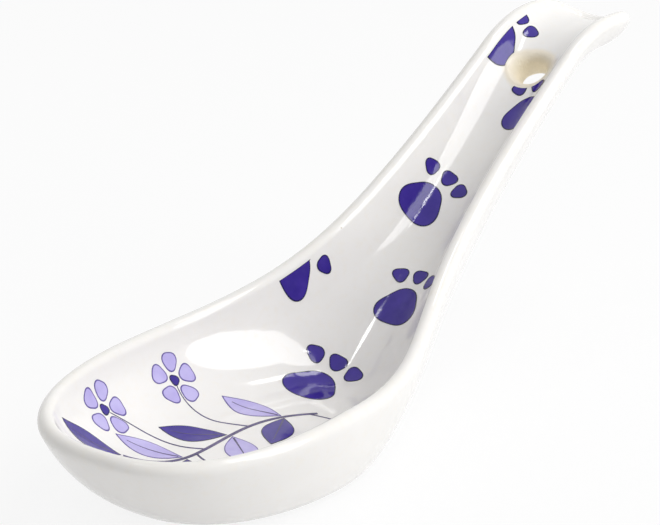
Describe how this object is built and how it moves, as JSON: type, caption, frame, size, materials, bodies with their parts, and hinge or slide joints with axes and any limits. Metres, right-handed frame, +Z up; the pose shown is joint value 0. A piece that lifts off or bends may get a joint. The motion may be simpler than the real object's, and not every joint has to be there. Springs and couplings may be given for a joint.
{
  "type": "soup spoon",
  "caption": "Porcelain soup spoon with a deep flat-footed bowl, a trough-shaped hooked handle with a hanging hole, and blue prints inside.",
  "frame": {"origin": "middle of the flat oval foot, on the face that the spoon stands on", "axes": "+X from the bowl towards the handle's end, +Y across the spoon, +Z up out of the bowl"},
  "size_m": [0.1403, 0.0442, 0.0536],
  "materials": {
    "white_glaze": "glossy warm white glaze over porcelain, bare at the foot and in the hole",
    "deep_blue_print": "glossy deep blue-violet overglaze print",
    "line_print": "glossy dark blue-violet overglaze line",
    "pale_violet_print": "glossy pale lavender overglaze print"
  },
  "bodies": {
    "root": {"porcelain_body": "white_glaze", "paw_print_1": "deep_blue_print", "paw_print_2": "deep_blue_print", "paw_print_3": "deep_blue_print", "paw_print_4": "deep_blue_print", "paw_print_5": "deep_blue_print", "paw_print_6": "deep_blue_print", "sprig_stem": "line_print", "deep_leaves": "deep_blue_print", "pale_leaves": "pale_violet_print", "blossom_petals": "pale_violet_print", "blossom_centres": "deep_blue_print"}
  },
  "joints": []
}
